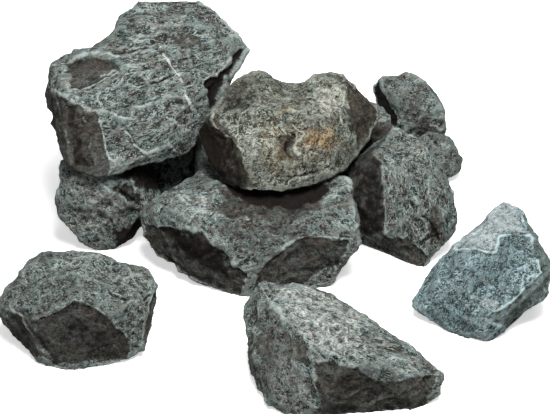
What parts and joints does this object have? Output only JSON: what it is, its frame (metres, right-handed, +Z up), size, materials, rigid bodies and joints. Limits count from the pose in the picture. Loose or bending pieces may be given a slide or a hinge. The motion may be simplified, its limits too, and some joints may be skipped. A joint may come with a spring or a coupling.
{
  "type": "heap of broken heater stones",
  "caption": "Heap of rough broken dark green-grey igneous stones, stacked loosely on the ground with three lying apart in front.",
  "frame": {"origin": "on the ground under the middle of the heap's footprint", "axes": "+X along the front of the heap, +Y from the front to the back, +Z up"},
  "size_m": [0.3824, 0.3712, 0.147],
  "materials": {
    "large_top_rock": "rough dark green-grey fracture with brown weathered faces",
    "notched_top_rock": "rough pale green-grey fracture with ochre stains",
    "front_base_rock": "rough dark grey fracture",
    "left_base_rock": "rough dark grey fracture",
    "upright_base_rock": "smooth-split grey-green fracture",
    "back_right_rock": "rough blue-grey fracture",
    "small_back_rock": "rough brown-grey fracture",
    "front_left_rock": "rough dark olive fracture",
    "front_centre_rock": "speckled dark grey fracture",
    "front_right_rock": "speckled blue-green fracture with a whitish cap",
    "rear_left_rock": "rough dark grey fracture",
    "rear_middle_rock": "rough dark grey fracture",
    "rear_right_rock": "rough grey-green fracture"
  },
  "bodies": {
    "pinned_stones": {"front_base_stone": "front_base_rock", "left_base_stone": "left_base_rock", "rear_left_base_stone": "rear_left_rock", "rear_middle_base_stone": "rear_middle_rock", "rear_right_base_stone": "rear_right_rock"},
    "large_top": {"large_top_stone": "large_top_rock"},
    "notched_top": {"notched_top_stone": "notched_top_rock"},
    "upright_base": {"upright_base_stone": "upright_base_rock"},
    "back_right": {"back_right_stone": "back_right_rock"},
    "small_back": {"small_back_stone": "small_back_rock"},
    "front_left": {"front_left_stone": "front_left_rock"},
    "front_centre": {"front_centre_stone": "front_centre_rock"},
    "front_right": {"front_right_stone": "front_right_rock"}
  },
  "joints": [
    {"name": "large_top_lift", "type": "slide", "parent": "pinned_stones", "child": "large_top", "axis": [0, 0, 1], "range_m": [0, 0.15]},
    {"name": "notched_top_lift", "type": "slide", "parent": "pinned_stones", "child": "notched_top", "axis": [0.36, -0.48, 0.8], "range_m": [0, 0.15]},
    {"name": "upright_base_draw", "type": "slide", "parent": "pinned_stones", "child": "upright_base", "axis": [0.96, 0, 0.28], "range_m": [0, 0.12]},
    {"name": "back_right_lift", "type": "slide", "parent": "pinned_stones", "child": "back_right", "axis": [0, 0.28, 0.96], "range_m": [0, 0.15]},
    {"name": "small_back_lift", "type": "slide", "parent": "pinned_stones", "child": "small_back", "axis": [0, 0, 1], "range_m": [0, 0.15]},
    {"name": "front_left_lift", "type": "slide", "parent": "pinned_stones", "child": "front_left", "axis": [0, 0, 1], "range_m": [0, 0.15]},
    {"name": "front_centre_lift", "type": "slide", "parent": "pinned_stones", "child": "front_centre", "axis": [0, 0, 1], "range_m": [0, 0.15]},
    {"name": "front_right_lift", "type": "slide", "parent": "pinned_stones", "child": "front_right", "axis": [0, 0, 1], "range_m": [0, 0.15]}
  ]
}
